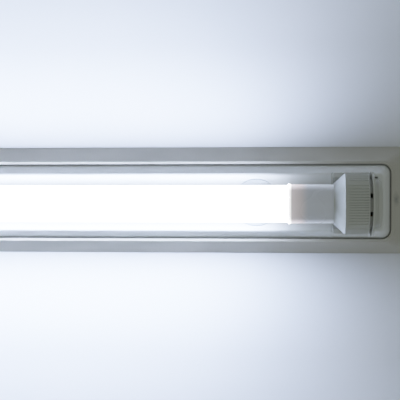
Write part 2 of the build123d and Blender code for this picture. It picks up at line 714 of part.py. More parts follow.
def make_lamp_cap():
    """Deep cup cap with a lip at its mouth and two pin holes."""
    mouth_r = TUBE_R + FIT_GAP / 2
    inner_r = CAP_R - CAP_WALL
    lip_x = cap_mouth_x + CAP_LIP_LENGTH
    wall_x = cap_face_x - CAP_END_WALL
    body = turned([
        (cap_mouth_x, mouth_r), (cap_mouth_x, CAP_LIP_R), (lip_x, CAP_LIP_R), (lip_x, CAP_R),
        (cap_face_x - CAP_EDGE_R, CAP_R), (cap_face_x, CAP_R - CAP_EDGE_R), (cap_face_x, 0),
        (wall_x, 0), (wall_x, inner_r), (tube_end_x, inner_r), (tube_end_x, mouth_r),
    ])
    for side in (-1, 1):
        body -= rod(PIN_R, wall_x, cap_face_x, side * PIN_SPACING / 2)
    return body


def make_lamp_pins():
    """Two contact pins, locked across the fitting."""
    pins = []
    root_x = cap_face_x - PIN_ROOT
    for side in (-1, 1):
        outline = make_face(Polyline(
            (root_x, 0), (root_x, PIN_R), (pin_tip_x - PIN_TIP_BEVEL, PIN_R),
            (pin_tip_x, PIN_R - PIN_TIP_BEVEL), (pin_tip_x, 0), close=True))
        pin = revolve(outline, Axis.X, 360)
        pins.append(Pos(0, side * PIN_SPACING / 2, axis_height) * pin)
    return group(pins)


def board_low():
    """Height of the light board's underside, with its lower corners just off the tube's wall."""
    inner_r = TUBE_R - TUBE_WALL - FIT_GAP / 2
    return axis_height - math.sqrt(inner_r ** 2 - (BOARD_WIDTH / 2) ** 2)


def make_led_board():
    """Long narrow board along the wall side of the tube."""
    half_length = tube_end_x - BOARD_END_SPACE
    low = board_low()
    return block(-half_length, half_length, -BOARD_WIDTH / 2, BOARD_WIDTH / 2, low, low + BOARD_THICKNESS)


def make_led_chips():
    """Row of light chips on the board."""
    low = board_low() + BOARD_THICKNESS
    pitch = 2 * (tube_end_x - BOARD_END_SPACE) / CHIP_COUNT
    chips = []
    for number in range(CHIP_COUNT):
        x = pitch * (number + 0.5 - CHIP_COUNT / 2)
        chips.append(block(x - CHIP_LENGTH / 2, x + CHIP_LENGTH / 2, -CHIP_WIDTH / 2, CHIP_WIDTH / 2,
                           low, low + CHIP_HEIGHT))
    return group(chips)


def driver_top():
    """Height of the driver board's upper face."""
    return axis_height - DRIVER_DROP


def make_driver_board():
    """Driver board across the right-hand cap, its edges just off the cap's wall."""
    reach = DRIVER_DROP + BOARD_THICKNESS
    half_width = math.sqrt((CAP_R - CAP_WALL - FIT_GAP) ** 2 - reach ** 2)
    start = tube_end_x + DRIVER_START
    top = driver_top()
    return block(start, start + DRIVER_LENGTH, -half_width, half_width, top - BOARD_THICKNESS, top)


def make_driver_parts():
    """Coil block and capacitor on the driver board."""
    length, width, height = COIL_SIZE
    start = tube_end_x + DRIVER_START
    top = driver_top()
    coil = block(start + FIT_GAP, start + FIT_GAP + length, -width / 2, width / 2, top, top + height)
    end = start + DRIVER_LENGTH
    capacitor = Pos(end - CAPACITOR_LENGTH - FIT_GAP, 0, top + CAPACITOR_R) * Rot(0, 90, 0) * Cylinder(
        CAPACITOR_R, CAPACITOR_LENGTH, align=(Align.CENTER, Align.CENTER, Align.MIN))
    return group([coil, capacitor])


def save(name, shape):
    """Write one piece under its node name."""
    export_step(shape, "parts/" + name + ".step")


os.makedirs("parts", exist_ok=True)
SINGLE_PIECES = {
    "base_housing": make_base,
    "cover_seal": make_cover_seal,
    "gear_tray": make_gear_tray,
    "cable_grommet": make_grommet,
    "terminal_block": make_terminal,
    "terminal_screws": make_terminal_screws,
    "supply_leads": make_supply_leads,
    "lamp_tube": make_lamp_tube,
    "led_board": make_led_board,
    "led_chips": make_led_chips,
    "driver_board": make_driver_board,
    "driver_parts": make_driver_parts,
}
PAIRED_PIECES = {
    "holder_body": make_holder_body,
    "holder_back": make_holder_back,
    "contacts": make_contacts,
    "holder_screws": make_holder_screws,
    "rotor": make_rotor,
    "slip_ring": make_slip_ring,
    "lamp_gasket": make_lamp_gasket,
    "ring_nut": make_ring_nut,
    "lamp_cap": make_lamp_cap,
    "lamp_pins": make_lamp_pins,
    "tray_fastener": make_fastener,
}
for name, make in SINGLE_PIECES.items():
    save(name, make())
for name, make in PAIRED_PIECES.items():
    right = make()
    save(name + "_right", right)
    save(name + "_left", mirrored(right))
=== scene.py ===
"""Looks of an open batten light: one lit opal tube lamp between two ribbed ring-nut lampholders.

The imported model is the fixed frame. Its nodes keep their place and get their finishes here. The
base, the tray, the holders and the fasteners get softly rounded edges. The ring nuts, the threads,
the lamp's tube and the lamp's caps are modelled here in full detail, round the frame's own sizes.
"""
import json
import logging
import math
from collections.abc import Iterator, Sequence
from contextlib import contextmanager
from dataclasses import dataclass, field
from enum import Enum

import bpy
import numpy as np
from mathutils import Matrix, Vector


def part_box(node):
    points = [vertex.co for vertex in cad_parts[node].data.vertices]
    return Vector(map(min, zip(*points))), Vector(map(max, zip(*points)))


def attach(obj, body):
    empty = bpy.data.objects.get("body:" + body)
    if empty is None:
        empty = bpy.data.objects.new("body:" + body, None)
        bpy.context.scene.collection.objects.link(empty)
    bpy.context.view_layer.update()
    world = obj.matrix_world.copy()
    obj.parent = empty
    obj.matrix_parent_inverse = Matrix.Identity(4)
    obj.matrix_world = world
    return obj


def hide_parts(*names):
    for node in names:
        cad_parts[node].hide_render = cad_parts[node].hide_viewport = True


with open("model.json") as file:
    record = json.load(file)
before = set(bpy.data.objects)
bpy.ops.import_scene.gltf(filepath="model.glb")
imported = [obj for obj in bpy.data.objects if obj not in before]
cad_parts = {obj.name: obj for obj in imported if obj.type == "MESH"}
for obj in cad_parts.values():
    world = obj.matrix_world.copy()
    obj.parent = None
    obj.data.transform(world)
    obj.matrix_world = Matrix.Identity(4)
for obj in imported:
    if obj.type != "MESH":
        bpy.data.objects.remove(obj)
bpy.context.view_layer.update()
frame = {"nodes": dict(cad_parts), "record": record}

LOG = logging.getLogger("batten_light")
MM = 0.001
TURN = 2 * math.pi
JOIN_DISTANCE = 1e-6                # points of a mesh that are closer than this become one
FLAT_WITHIN = math.radians(0.5)     # faces that turn less than this from their neighbours are joined
ROUNDING_STEPS = 2                  # faces across a rounded edge
FACE_WEIGHT = 100                   # how far large faces lead the shading: 100 is all the way
# Sockets of the Mix node for colours, which share their names with those for numbers
MIX_FACTOR, MIX_FIRST, MIX_SECOND, MIX_RESULT = 0, 6, 7, 2
# Short names for the types that every finish handles
Tree, Socket = bpy.types.NodeTree, bpy.types.NodeSocket


class End(Enum):
    """The two ends of the fitting, with the side of the middle that each lies on."""

    LEFT = -1
    RIGHT = 1

    @property
    def suffix(self) -> str:
        """Ending of the names of the pieces at this end."""
        return self.name.lower()


def linear(colour: str) -> tuple[float, float, float, float]:
    """Turn an sRGB colour into the linear values that a shader wants.

    Args:
        colour: Six hexadecimal digits, red first.

    Returns:
        Red, green, blue and full opacity.
    """
    channels = []
    for start in (0, 2, 4):
        value = int(colour[start:start + 2], 16) / 255
        channels.append(value / 12.92 if value <= 0.04045 else ((value + 0.055) / 1.055) ** 2.4)
    return (*channels, 1.0)


def add_node(tree: Tree, kind: str, inputs: dict | None = None,
             **settings: object) -> bpy.types.Node:
    """Add a shader node, set it up and link it.

    Args:
        tree: Node tree that gets the node.
        kind: Blender's name of the node type.
        inputs: Socket name or number to a value, or to an output socket that feeds it.
        **settings: The node's own settings.

    Returns:
        The new node.
    """
    node = tree.nodes.new(kind)
    for name, value in settings.items():
        setattr(node, name, value)
    for key, value in (inputs or {}).items():
        if isinstance(value, Socket):
            tree.links.new(value, node.inputs[key])
        else:
            node.inputs[key].default_value = value
    return node


@dataclass(frozen=True)
class Finish:
    """A surface: what it is made of and how it was made."""

    name: str
    colour: str
    roughness: float = 0.5
    ior: float = 1.5
    metallic: float = 0.0

    def shader_inputs(self, tree: Tree, place: Socket) -> dict:
        """Give the shader's sockets their values; each finish with a pattern adds to them.

        Args:
            tree: The material's node tree.
            place: Object coordinates in metres.

        Returns:
            Socket name to value or output socket.
        """
        return {"Base Color": linear(self.colour), "Roughness": self.roughness,
                "Metallic": self.metallic}

    def material(self) -> bpy.types.Material:
        """Build the material once, and return the same one after that."""
        made = bpy.data.materials.get(self.name)
        if made is None:
            made = bpy.data.materials.new(self.name)
            made.use_nodes = True
            tree = made.node_tree
            tree.nodes.clear()
            place = add_node(tree, "ShaderNodeTexCoord").outputs["Object"]
            inputs = self.shader_inputs(tree, place)
            if self.metallic == 0:
                inputs["IOR"] = self.ior
            shader = add_node(tree, "ShaderNodeBsdfPrincipled", inputs)
            add_node(tree, "ShaderNodeOutputMaterial", {"Surface": shader.outputs["BSDF"]})
            made.diffuse_color = linear(self.colour)
        return made


def worked_out(tree: Tree, operation: str, *values: object) -> Socket:
    """Add, multiply or otherwise work out numbers.

    Args:
        tree: The material's node tree.
        operation: Blender's name of what is done.
        *values: Numbers or output sockets, in order.

    Returns:
        The result's output.
    """
    return add_node(tree, "ShaderNodeMath", dict(enumerate(values)), operation=operation).outputs[0]


def noise(tree: Tree, place: Socket, size_mm: float, detail: float = 3.0) -> Socket:
    """Noise whose blotches are about a given size.

    Args:
        tree: The material's node tree.
        place: Object coordinates in metres.
        size_mm: Width of one blotch.
        detail: Octaves of finer noise.

    Returns:
        The noise's value output.
    """
    node = add_node(tree, "ShaderNodeTexNoise",
                    {"Vector": place, "Scale": 1 / (size_mm * MM), "Detail": detail})
    return node.outputs["Fac"]


def between(tree: Tree, value: Socket, low: float, high: float,
            source: tuple[float, float] = (0.3, 0.7)) -> Socket:
    """Spread a value over a new range.

    Args:
        tree: The material's node tree.
        value: What to spread.
        low: Result at the source's first value.
        high: Result at the source's second value.
        source: Range of the value that counts.

    Returns:
        The mapped output.
    """
    node = add_node(tree, "ShaderNodeMapRange",
                    {"Value": value, "From Min": source[0], "From Max": source[1],
                     "To Min": low, "To Max": high})
    return node.outputs["Result"]


def blend_colours(tree: Tree, factor: Socket, first: object, second: object) -> Socket:
    """Mix two colours.

    Args:
        tree: The material's node tree.
        factor: 0 gives the first colour and 1 the second.
        first: Colour value or output socket.
        second: Colour value or output socket.

    Returns:
        The mixed colour output.
    """
    node = add_node(tree, "ShaderNodeMix", {MIX_FACTOR: factor, MIX_FIRST: first, MIX_SECOND: second},
                    data_type="RGBA")
    return node.outputs[MIX_RESULT]


def relief(tree: Tree, height: Socket, depth_mm: float) -> Socket:
    """Bump from a height pattern.

    Args:
        tree: The material's node tree.
        height: Pattern from 0 to 1.
        depth_mm: Real depth between its low and high places.

    Returns:
        The normal output.
    """
    node = add_node(tree, "ShaderNodeBump",
                    {"Height": height, "Distance": depth_mm * MM, "Strength": 1.0})
    return node.outputs["Normal"]


@dataclass(frozen=True)
class MouldedPlastic(Finish):
    """Injection-moulded plastic: a fine texture from the tool, and slow changes of tone and gloss."""

    grain_mm: float = 0.6        # the tool's real grain is near 0.1 mm; coarser here, so that it shows
    grain_depth_mm: float = 0.01
    flow_mm: float = 45.0
    flow_tone: str = ""          # second tone of the slow change; the colour itself where empty
    gloss_spread: float = 0.08

    def shader_inputs(self, tree: Tree, place: Socket) -> dict:
        """Colour, gloss and grain of the moulding."""
        flow = noise(tree, place, self.flow_mm, detail=2.0)
        inputs = {"Metallic": 0.0}
        inputs["Roughness"] = between(tree, flow, self.roughness - self.gloss_spread,
                                      self.roughness + self.gloss_spread)
        inputs["Base Color"] = blend_colours(tree, between(tree, flow, 0, 1), linear(self.colour),
                                             linear(self.flow_tone or self.colour))
        inputs["Normal"] = relief(tree, noise(tree, place, self.grain_mm), self.grain_depth_mm)
        return inputs


@dataclass(frozen=True)
class DarkPatchPlastic(MouldedPlastic):
    """The base's moulding, with a soft dark patch on its right-hand end."""

    mark_at_mm: tuple[float, float, float] = (324.0, 1.5, 23.2)
    mark_radius_mm: float = 6.0
    mark_scale: tuple[float, float, float] = (1.5, 0.8, 1.0)    # narrow along the lamp, long across it
    mark_grain_mm: float = 4.0                                  # blotches that make its edge ragged
    mark_cover: float = 0.8                                     # how much of the colour it hides
    mark_fade: tuple[float, float] = (0.4, 1.3)                 # shares of its radius: it thins out
    mark_colour: str = "8f918c"

    def shader_inputs(self, tree: Tree, place: Socket) -> dict:
        """The plain moulding with its mark laid over the colour."""
        inputs = super().shader_inputs(tree, place)
        centre = tuple(size * MM for size in self.mark_at_mm)
        offset = add_node(tree, "ShaderNodeVectorMath", {0: place, 1: centre}, operation="SUBTRACT")
        scaled = add_node(tree, "ShaderNodeVectorMath",
                          {0: offset.outputs["Vector"], 1: self.mark_scale}, operation="MULTIPLY")
        away = add_node(tree, "ShaderNodeVectorMath", {0: scaled.outputs["Vector"]},
                        operation="LENGTH")
        ragged = worked_out(tree, "MULTIPLY", noise(tree, place, self.mark_grain_mm),
                            self.mark_radius_mm * MM)
        total = worked_out(tree, "ADD", away.outputs["Value"], ragged)
        strength = between(tree, total, self.mark_cover, 0.0,
                           tuple(share * self.mark_radius_mm * MM for share in self.mark_fade))
        inputs["Base Color"] = blend_colours(tree, strength, inputs["Base Color"],
                                             linear(self.mark_colour))
        return inputs


@dataclass(frozen=True)
class LitOpal(Finish):
    """Extruded opal tube, lit from inside by its row of chips, so evenly white that no chip shows.

    The chips face away from the wall, and their board shades the back of the tube.
    """

    light: str = "f2f6ff"
    front_strength: float = 3.0
    back_strength: float = 0.8
    axis_mm: float = 65.0
    fade_mm: tuple[float, float] = (-8.0, 0.0)     # heights from the axis between which the shade fades

    def shader_inputs(self, tree: Tree, place: Socket) -> dict:
        """Glossy opal skin over its own light."""
        inputs = super().shader_inputs(tree, place)
        height = add_node(tree, "ShaderNodeSeparateXYZ", {"Vector": place}).outputs["Z"]
        low, high = ((self.axis_mm + fade) * MM for fade in self.fade_mm)
        inputs["Emission Color"] = linear(self.light)
        inputs["Emission Strength"] = between(tree, height, self.back_strength, self.front_strength,
                                              (low, high))
        return inputs


@dataclass(frozen=True)
class PaintedGlow:
    """Painted glow at one place along the lamp: emission on a wall that stands in for the light shining
    through it.
    """

    at_mm: float
    light: str
    strength: float


@dataclass(frozen=True)
class CapWithPaintedGlow(MouldedPlastic):
    """Moulded lamp cap with painted light: an emission glow where the lit tube stands in it, strongest
    at its lip, with a painted highlight on its flanks and painted shade on its back.
    """

    # painted glow: emission strengths and tints along the cap, from its mouth to its face
    painted_glows: tuple[PaintedGlow, ...] = (
        PaintedGlow(246.9, "ffffff", 1.9), PaintedGlow(248.2, "ffffff", 1.35), PaintedGlow(249.1, "fff2f6", 0.37),
        PaintedGlow(255.6, "ffeef2", 0.24), PaintedGlow(260.4, "e4ebff", 0.16), PaintedGlow(294.9, "e4ecf6", 0.11),
    )
    crown_share: float = 0.85
    painted_flank_highlight: float = 2.5
    flank_mm: tuple[float, float] = (9.8, 13.4)    # distances from the lamp's middle line to the flank, over which the painted highlight grows
    painted_shade_back_share: float = 0.1
    painted_shade_mm: tuple[float, float] = (57.0, 64.0)   # heights over which the painted shade of the cap's back gives way to the glow

    def shader_inputs(self, tree: Tree, place: Socket) -> dict:
        """The plain moulding with painted glow that fades along the lamp, grows into a painted
        highlight towards its flanks and gives way to painted shade on its back.
        """
        inputs = super().shader_inputs(tree, place)
        parts = add_node(tree, "ShaderNodeSeparateXYZ", {"Vector": place}).outputs
        along, aside = (worked_out(tree, "ABSOLUTE", parts[axis]) for axis in "XY")
        first, last = self.painted_glows[0].at_mm, self.painted_glows[-1].at_mm
        ramp = add_node(tree, "ShaderNodeValToRGB",
                        {"Fac": between(tree, along, 0, 1, (first * MM, last * MM))})
        steps = ramp.color_ramp.elements
        while len(steps) < len(self.painted_glows):
            steps.new(1.0)
        for step, glow in zip(steps, self.painted_glows):
            step.position = (glow.at_mm - first) / (last - first)
            step.color = [glow.strength * channel for channel in linear(glow.light)[:3]] + [1.0]
        inputs["Emission Color"] = ramp.outputs["Color"]
        # painted highlight: the glow grows towards the cap's flanks
        share = between(tree, aside, self.crown_share, self.painted_flank_highlight,
                        tuple(edge * MM for edge in self.flank_mm))
        # painted shade: the glow fades out on the cap's back, which faces the tray
        shade = between(tree, parts["Z"], self.painted_shade_back_share, 1.0,
                        tuple(edge * MM for edge in self.painted_shade_mm))
        inputs["Emission Strength"] = worked_out(tree, "MULTIPLY", share, shade)
        return inputs


@dataclass(frozen=True)
class Rubber(Finish):
    """Pressed rubber: dull, with a faint bloom of dust."""

    bloom: str = "6a6a6a"
    bloom_mm: float = 3.0
    bloom_cover: float = 0.5
    grain_mm: float = 0.4
    grain_depth_mm: float = 0.02

    def shader_inputs(self, tree: Tree, place: Socket) -> dict:
        """Colour with bloom, and a soft grain."""
        inputs = super().shader_inputs(tree, place)
        cloud = noise(tree, place, self.bloom_mm)
        inputs["Base Color"] = blend_colours(tree, between(tree, cloud, 0, self.bloom_cover),
                                             linear(self.colour), linear(self.bloom))
        inputs["Normal"] = relief(tree, noise(tree, place, self.grain_mm), self.grain_depth_mm)
        return inputs


@dataclass(frozen=True)
class DrawnMetal(Finish):
    """Drawn or plated metal with fine lines along its length."""

    metallic: float = 1.0
    line_mm: float = 0.25
    line_depth_mm: float = 0.004
    stretch: float = 12.0
    gloss_range: tuple[float, float] = (-0.08, 0.12)    # what the lines add to the roughness

    def shader_inputs(self, tree: Tree, place: Socket) -> dict:
        """Metal colour with drawn lines in its gloss and relief."""
        inputs = super().shader_inputs(tree, place)
        drawn = add_node(tree, "ShaderNodeMapping",
                         {"Vector": place, "Scale": (1 / self.stretch, 1, 1)})
        lines = noise(tree, drawn.outputs["Vector"], self.line_mm)
        low, high = (self.roughness + change for change in self.gloss_range)
        inputs["Roughness"] = between(tree, lines, low, high)
        inputs["Normal"] = relief(tree, lines, self.line_depth_mm)
        return inputs


@dataclass(frozen=True)
class BoardLaminate(Finish):
    """Glass-fibre board under solder mask: the weave shows faintly through the lacquer."""

    weave_mm: float = 0.5
    weave_depth_mm: float = 0.01

    def shader_inputs(self, tree: Tree, place: Socket) -> dict:
        """Lacquer colour with a woven relief."""
        inputs = super().shader_inputs(tree, place)
        threads = []
        for direction in ("X", "Y"):
            wave = add_node(tree, "ShaderNodeTexWave",
                            {"Vector": place, "Scale": 1 / (self.weave_mm * MM * TURN)},
                            bands_direction=direction)
            threads.append(wave.outputs["Fac"])
        weave = worked_out(tree, "MULTIPLY", *threads)
        inputs["Normal"] = relief(tree, weave, self.weave_depth_mm)
        return inputs


# Moulded ABS, light grey with a fine tool texture: dull, a little warm where the lamp doesn't reach
BASE_PLASTIC = DarkPatchPlastic("moulded_abs_grey", "cfccc3", 0.55, 1.54, flow_tone="c9c7bf")
# Moulded polycarbonate, satin white: throws the lamp's light back up the holders
TRAY_PLASTIC = MouldedPlastic("moulded_pc_white", "f2f4f4", 0.46, 1.58, grain_depth_mm=0.002,
                              flow_tone="f0f2f2", gloss_spread=0.03)
# The same polycarbonate from another batch, a shade greyer: the tray's fasteners
FASTENER_PLASTIC = MouldedPlastic("moulded_pc_fastener", "d9dde0", 0.4, 1.58, grain_depth_mm=0.002,
                                  flow_tone="d7dbde", gloss_spread=0.03)
# Moulded polycarbonate, white turned slightly grey: the lampholders
HOLDER_PLASTIC = MouldedPlastic("moulded_pc_holder", "d6d7d2", 0.38, 1.58, grain_depth_mm=0.004,
                                flow_tone="cfd1cd")
# Moulded nylon, light grey: ring nuts and slip rings, with softer gloss than the holders
NUT_PLASTIC = MouldedPlastic("moulded_nylon_nut", "cfd1cd", 0.42, 1.53, grain_depth_mm=0.005,
                             flow_tone="c8cbc7")
# Moulded polycarbonate cap of the lamp, slightly see-through white, with painted glow standing in for
# the lamp's light through it
CAP_PLASTIC_PAINTED_GLOW = CapWithPaintedGlow("moulded_pc_cap", "c9ccd0", 0.25, 1.58, grain_depth_mm=0.002, flow_tone="c5c9ce")
# Moulded thermoset rotor, cream white and dull
ROTOR_PLASTIC = MouldedPlastic("moulded_rotor", "dcdad2", 0.45, 1.55)
# Natural nylon of the terminal block, milky
TERMINAL_PLASTIC = MouldedPlastic("moulded_nylon_terminal", "dddbcf", 0.5, 1.53)
# Extruded lead insulation, smooth and slightly shiny
LEAD_PLASTIC = MouldedPlastic("extruded_pvc_lead", "c9c9c4", 0.4, 1.53, grain_mm=1.5)
# Black component bodies, dull
COMPONENT_PLASTIC = MouldedPlastic("moulded_component", "1c1c1d", 0.5, 1.55)
# Extruded opal polycarbonate, lit
OPAL = LitOpal("extruded_opal_lit", "f4f6fa", 0.3, 1.58)
# The same tube's inner wall, which only passes the light on
OPAL_INSIDE = Finish("extruded_opal_inside", "e8eaee", 0.5, 1.58)
# Foamed light-grey seal, dull, made paler as painted light: the groove that it sits in looks flooded by
# the lamp's glare
SEAL_RUBBER_PAINTED_GLARE = Rubber("foamed_seal", "dcdddb", 0.85, 1.45, bloom="e6e6e4")
# Pressed black rubber
BLACK_RUBBER = Rubber("pressed_rubber_black", "161616", 0.7, 1.5, bloom="4a4a4a")
# Pressed silicone, milky
SILICONE = Rubber("pressed_silicone", "cfd3d2", 0.55, 1.42, bloom="dfe1e0")
# Zinc-plated steel, bright with a cool cast
PLATED_STEEL = DrawnMetal("zinc_plated_steel", "b9bcbe", 0.3)
# Phosphor-bronze strip, warm and springy
BRONZE = DrawnMetal("phosphor_bronze_strip", "c9965f", 0.3)
# Drawn brass pins with a thin nickel coat
PIN_BRASS = DrawnMetal("nickelled_brass", "cfc6a8", 0.22)
# White solder mask of the light board
WHITE_BOARD = BoardLaminate("laminate_white", "e9eae6", 0.35, 1.5)
# Green solder mask of the driver board
GREEN_BOARD = BoardLaminate("laminate_green", "1f5b35", 0.35, 1.5)
# Silicone drops with phosphor over the chips
PHOSPHOR = MouldedPlastic("cast_phosphor", "e2c548", 0.3, 1.41)
# Pale painted floor or wall under the fitting
FLOOR_PAINT = MouldedPlastic("floor_paint", "e9eaec", 0.8, 1.45, grain_mm=4.0, grain_depth_mm=0.05,
                             flow_mm=180.0, flow_tone="e4e6e9")


def clear_selection() -> None:
    """Deselect every object, in object mode."""
    if bpy.context.object and bpy.context.object.mode != "OBJECT":
        bpy.ops.object.mode_set(mode="OBJECT")
    bpy.ops.object.select_all(action="DESELECT")


def pick(piece: bpy.types.Object) -> None:
    """Select one piece alone and make it the one that the operators work on.

    Args:
        piece: Object to pick.
    """
    clear_selection()
    piece.select_set(True)
    bpy.context.view_layer.objects.active = piece


@contextmanager
def editing(piece: bpy.types.Object) -> Iterator[None]:
    """Edit one piece with the operators, and leave edit mode afterwards.

    Args:
        piece: Mesh object to edit.

    Yields:
        Nothing; the piece is in edit mode.
    """
    pick(piece)
    bpy.ops.object.mode_set(mode="EDIT")
    yield
    bpy.ops.object.mode_set(mode="OBJECT")


def select_points(piece: bpy.types.Object, chosen: np.ndarray) -> None:
    """Select some of a mesh's points and nothing else.

    Args:
        piece: Mesh object in object mode.
        chosen: One truth value for each point.
    """
    mesh = piece.data
    mesh.polygons.foreach_set("select", np.zeros(len(mesh.polygons), bool))
    mesh.edges.foreach_set("select", np.zeros(len(mesh.edges), bool))
    mesh.vertices.foreach_set("select", chosen)


def round_size(node: str) -> tuple[float, float]:
    """Size of a node of the frame that is round about the lamp axis.

    Args:
        node: Name of the node.

    Returns:
        Its radius, and the height of its middle.
    """
    low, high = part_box(node)
    return (high.z - low.z) / 2, (high.z + low.z) / 2


def points_of(piece: bpy.types.Object) -> np.ndarray:
    """All points of a mesh, one row each."""
    flat = np.zeros(3 * len(piece.data.vertices))
    piece.data.vertices.foreach_get("co", flat)
    return flat.reshape(-1, 3)


def settle(piece: bpy.types.Object, finish: Finish, smooth_below: float = 35.0) -> bpy.types.Object:
    """Finish a new piece: place in its mesh, faces outwards, soft shading and its material.

    Args:
        piece: The modelled object.
        finish: What it is made of.
        smooth_below: Angle in degrees under which neighbouring faces are shaded as one.

    Returns:
        The same object.
    """
    pick(piece)
    bpy.ops.object.transform_apply(location=True, rotation=True, scale=True)
    with editing(piece):
        bpy.ops.mesh.select_all(action="SELECT")
        bpy.ops.mesh.normals_make_consistent(inside=False)
    bpy.ops.object.shade_smooth_by_angle(angle=math.radians(smooth_below))
    piece.data.materials.clear()
    piece.data.materials.append(finish.material())
    return piece


@dataclass(frozen=True)
class Corner:
    """A corner of a turned outline: place along the lamp, radius and rounding, in metres."""

    x: float
    r: float
    rounding: float = 0.0


def rounded_outline(corners: Sequence[Corner], steps: int = 4) -> list[tuple[float, float]]:
    """Round the corners of a closed outline with arcs.

    Args:
        corners: The outline's corners in order.
        steps: Straight pieces in each arc.

    Returns:
        Points of the outline, as place along the lamp and radius.
    """
    points = []
    for number, corner in enumerate(corners):
        here = Vector((corner.x, corner.r))
        if corner.rounding == 0:
            points.append(tuple(here))
            continue
        before, after = corners[number - 1], corners[(number + 1) % len(corners)]
        back = (Vector((before.x, before.r)) - here).normalized()
        ahead = (Vector((after.x, after.r)) - here).normalized()
        half = back.angle(ahead) / 2
        centre = here + (back + ahead).normalized() * (corner.rounding / math.sin(half))
        tangent = corner.rounding / math.tan(half)
        first, last = here + back * tangent - centre, here + ahead * tangent - centre
        turn = first.angle(last)
        for step in range(steps + 1):
            share = step / steps
            spoke = first * math.sin((1 - share) * turn) + last * math.sin(share * turn)
            points.append(tuple(centre + spoke / math.sin(turn)))
    return points


def turn(name: str, outline: Sequence[tuple[float, float]], height: float, segments: int,
         ring_shaped: bool = True) -> bpy.types.Object:
    """Turn an outline about the lamp axis: a circle is extruded from point to point.

    Args:
        name: Name of the piece.
        outline: Places along the lamp and radii, in order round the section.
        height: Height of the lamp axis.
        segments: Points in each ring.
        ring_shaped: Whether the section closes on itself; else a disc closes each of its ends.

    Returns:
        The new turned piece.
    """
    clear_selection()
    x, radius = outline[0]
    bpy.ops.mesh.primitive_circle_add(vertices=segments, radius=radius, location=(x, 0, height),
                                      rotation=(0, math.pi / 2, 0))
    piece = bpy.context.object
    piece.name = piece.data.name = name
    with editing(piece):
        bpy.ops.mesh.select_all(action="SELECT")
        if not ring_shaped:
            bpy.ops.mesh.edge_face_add()
        for next_x, next_radius in [*outline[1:], *outline[:1 if ring_shaped else 0]]:
            move = {"value": (next_x - x, 0, 0)}
            if ring_shaped:
                bpy.ops.mesh.extrude_edges_move(TRANSFORM_OT_translate=move)
            else:
                bpy.ops.mesh.extrude_region_move(TRANSFORM_OT_translate=move)
            scale = next_radius / radius
            bpy.ops.transform.resize(value=(1, scale, scale), center_override=(next_x, 0, height))
            x, radius = next_x, next_radius
        bpy.ops.mesh.select_all(action="SELECT")
        bpy.ops.mesh.remove_doubles(threshold=JOIN_DISTANCE)
    return piece


def softened(node: str, finish: Finish, radius_mm: float,
             sharp_above: float = 40.0) -> bpy.types.Object:
    """Copy a node of the frame, join its loose triangles and round its sharp edges.

    Args:
        node: Name of the node.
        finish: What it is made of.
        radius_mm: How far the rounding reaches from each edge.
        sharp_above: Angle in degrees from which an edge counts as sharp.

    Returns:
        The new piece, in the node's place.
    """
    piece = bpy.data.objects.new(node + "_softened", frame["nodes"][node].data.copy())
    bpy.context.scene.collection.objects.link(piece)
    pick(piece)
    bpy.ops.mesh.customdata_custom_splitnormals_clear()
    with editing(piece):
        bpy.ops.mesh.select_all(action="SELECT")
        bpy.ops.mesh.remove_doubles(threshold=JOIN_DISTANCE)
        bpy.ops.mesh.dissolve_limited(angle_limit=FLAT_WITHIN)
    bevel = piece.modifiers.new("round_edges", "BEVEL")
    bevel.width = radius_mm * MM
    bevel.segments = ROUNDING_STEPS
    bevel.limit_method = "ANGLE"
    bevel.angle_limit = math.radians(sharp_above)
    bpy.ops.object.modifier_apply(modifier=bevel.name)
    settle(piece, finish)
    even = piece.modifiers.new("even_flats", "WEIGHTED_NORMAL")
    even.keep_sharp = True
    even.weight = FACE_WEIGHT
    bpy.ops.object.modifier_apply(modifier=even.name)
    LOG.info("%s: edges rounded, %d points", piece.name, len(piece.data.vertices))
    return piece


def put_in(piece: bpy.types.Object, node: str) -> bpy.types.Object:
    """Let a modelled piece stand for one node: on the node's body, with the node hidden.

    Args:
        piece: The modelled piece.
        node: Name of the node that it replaces.

    Returns:
        The same piece.
    """
    record = frame["record"]
    body = next(name for name, nodes in record["behaviour"]["bodies"].items() if node in nodes)
    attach(piece, body)
    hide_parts(node)
    return piece


